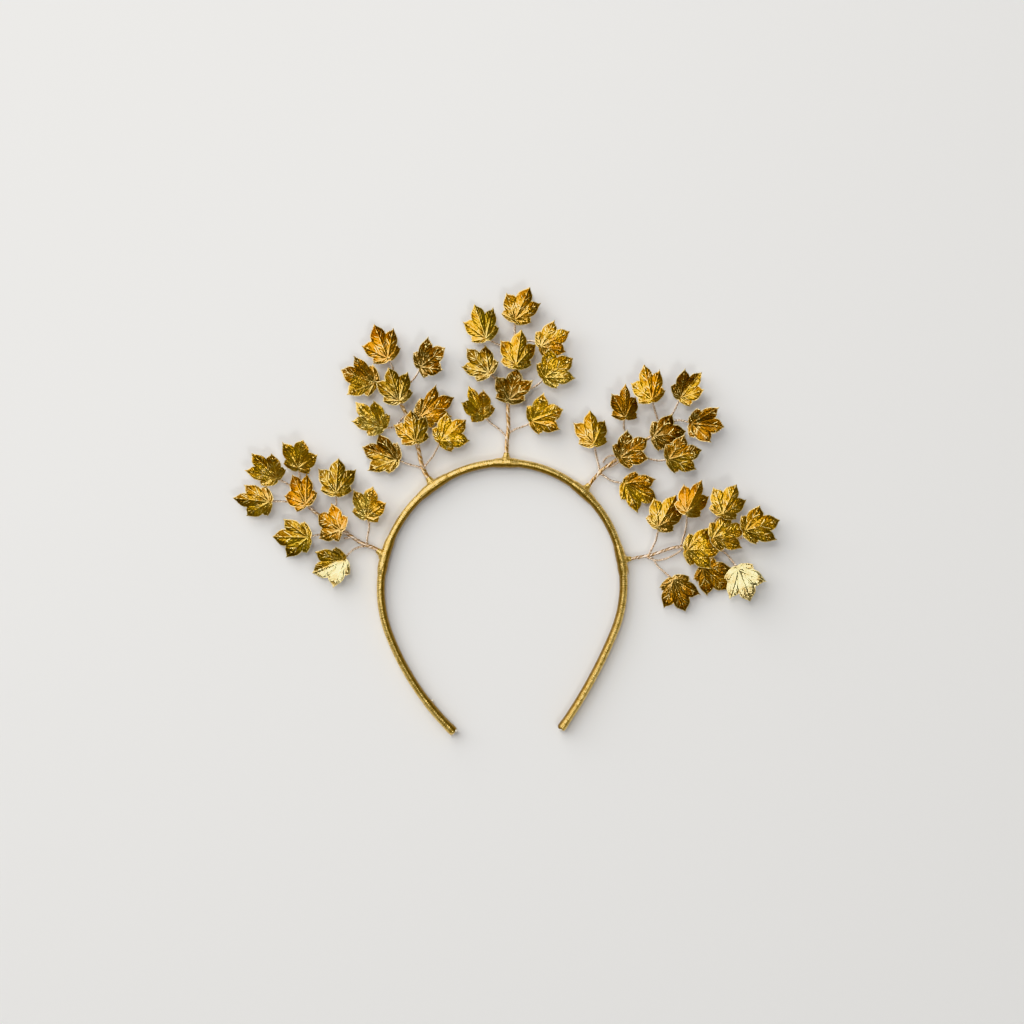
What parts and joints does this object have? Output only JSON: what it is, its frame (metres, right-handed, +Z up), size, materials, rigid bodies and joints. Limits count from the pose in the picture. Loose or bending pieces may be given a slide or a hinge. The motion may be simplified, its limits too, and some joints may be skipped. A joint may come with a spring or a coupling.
{
  "type": "leaf headband",
  "caption": "Hard headband wound in gold ribbon, an open horseshoe with sprays of stamped gold maple leaves on twisted wires around its crown.",
  "frame": {"origin": "centre of the bounding box's underside, where the bindings and the folded ends rest", "axes": "+Z up from the surface it lies on, +Y towards the top spray, -Y towards the open ends, +X to the right as seen from above"},
  "size_m": [0.2846, 0.2325, 0.0159],
  "materials": {
    "wound_strip": "plastic strip wound in gold lame ribbon",
    "ribbon": "gold lame ribbon",
    "wire": "twisted pale brass wire",
    "leaf": "stamped thin sheet with a polished gold lacquer"
  },
  "bodies": {
    "root": {"band": "wound_strip", "binding_left": "ribbon", "binding_upper_left": "ribbon", "binding_top": "ribbon", "binding_upper_right": "ribbon", "binding_right": "ribbon", "wires_left": "wire", "wires_upper_left": "wire", "wires_top": "wire", "wires_upper_right": "wire", "wires_right": "wire", "leaf_left_1": "leaf", "leaf_left_2": "leaf", "leaf_left_3": "leaf", "leaf_left_4": "leaf", "leaf_left_5": "leaf", "leaf_left_6": "leaf", "leaf_left_7": "leaf", "leaf_left_8": "leaf", "leaf_left_9": "leaf", "leaf_upper_left_1": "leaf", "leaf_upper_left_2": "leaf", "leaf_upper_left_3": "leaf", "leaf_upper_left_4": "leaf", "leaf_upper_left_5": "leaf", "leaf_upper_left_6": "leaf", "leaf_upper_left_7": "leaf", "leaf_upper_left_8": "leaf", "leaf_upper_left_9": "leaf", "leaf_top_1": "leaf", "leaf_top_2": "leaf", "leaf_top_3": "leaf", "leaf_top_4": "leaf", "leaf_top_5": "leaf", "leaf_top_6": "leaf", "leaf_top_7": "leaf", "leaf_top_8": "leaf", "leaf_top_9": "leaf", "leaf_upper_right_1": "leaf", "leaf_upper_right_2": "leaf", "leaf_upper_right_3": "leaf", "leaf_upper_right_4": "leaf", "leaf_upper_right_5": "leaf", "leaf_upper_right_6": "leaf", "leaf_upper_right_7": "leaf", "leaf_upper_right_8": "leaf", "leaf_upper_right_9": "leaf", "leaf_right_1": "leaf", "leaf_right_2": "leaf", "leaf_right_3": "leaf", "leaf_right_4": "leaf", "leaf_right_5": "leaf", "leaf_right_6": "leaf", "leaf_right_7": "leaf", "leaf_right_8": "leaf", "leaf_right_9": "leaf"}
  },
  "joints": []
}
